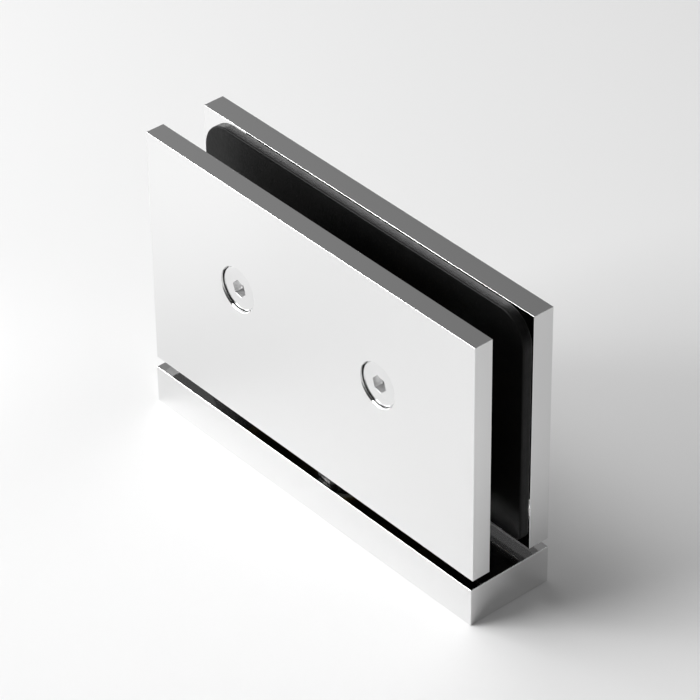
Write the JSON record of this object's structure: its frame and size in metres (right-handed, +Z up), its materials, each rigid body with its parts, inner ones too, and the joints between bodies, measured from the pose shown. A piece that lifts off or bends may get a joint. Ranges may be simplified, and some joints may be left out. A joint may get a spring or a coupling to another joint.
{
  "type": "pivot shower door hinge",
  "caption": "Glass door pivot hinge: two polished plates clamp the glass between gaskets and turn on a post that stands on a slim floor block.",
  "frame": {"origin": "on the pivot axis, at the underside of the base block", "axes": "+X along the plates, +Y from the front plate with the screws to the rear plate, +Z up along the pivot axis"},
  "size_m": [0.1142, 0.024, 0.0786],
  "materials": {
    "polished_chrome": "polished",
    "post_steel": "satin",
    "screw_steel": "polished",
    "spring_steel": "satin",
    "body_brass": "satin",
    "bush_bronze": "satin",
    "white_plastic": "matte",
    "gasket_rubber": "matte"
  },
  "bodies": {
    "base": {"base_plate": "polished_chrome", "pivot_post": "post_steel", "post_screw": "screw_steel", "thrust_washer": "white_plastic", "retaining_washer": "screw_steel", "retaining_screw": "screw_steel"},
    "clamp": {"hinge_body": "body_brass", "lower_bush": "bush_bronze", "upper_bush": "bush_bronze", "front_plate": "polished_chrome", "rear_plate": "polished_chrome", "front_gasket": "gasket_rubber", "rear_gasket": "gasket_rubber", "clamp_screw_left": "screw_steel", "clamp_screw_right": "screw_steel", "sleeve_left": "white_plastic", "sleeve_right": "white_plastic", "body_screw_left": "screw_steel", "body_screw_right": "screw_steel", "spring_left": "spring_steel", "spring_right": "spring_steel", "grub_screw_left": "screw_steel", "grub_screw_right": "screw_steel"},
    "left_detent": {"plunger_left": "post_steel"},
    "right_detent": {"plunger_right": "post_steel"}
  },
  "joints": [
    {"name": "door_swing", "type": "hinge", "parent": "base", "child": "clamp", "pos_m": [0, 0, 0], "axis": [0, 0, 1], "range_deg": [-90, 90]},
    {"name": "left_plunger_travel", "type": "slide", "parent": "clamp", "child": "left_detent", "axis": [-1, 0, 0], "range_m": [0, 0.0006], "stiffness_N_per_m": 2000, "deforming": ["spring_left"]},
    {"name": "right_plunger_travel", "type": "slide", "parent": "clamp", "child": "right_detent", "axis": [1, 0, 0], "range_m": [0, 0.0006], "stiffness_N_per_m": 2000, "deforming": ["spring_right"]}
  ]
}
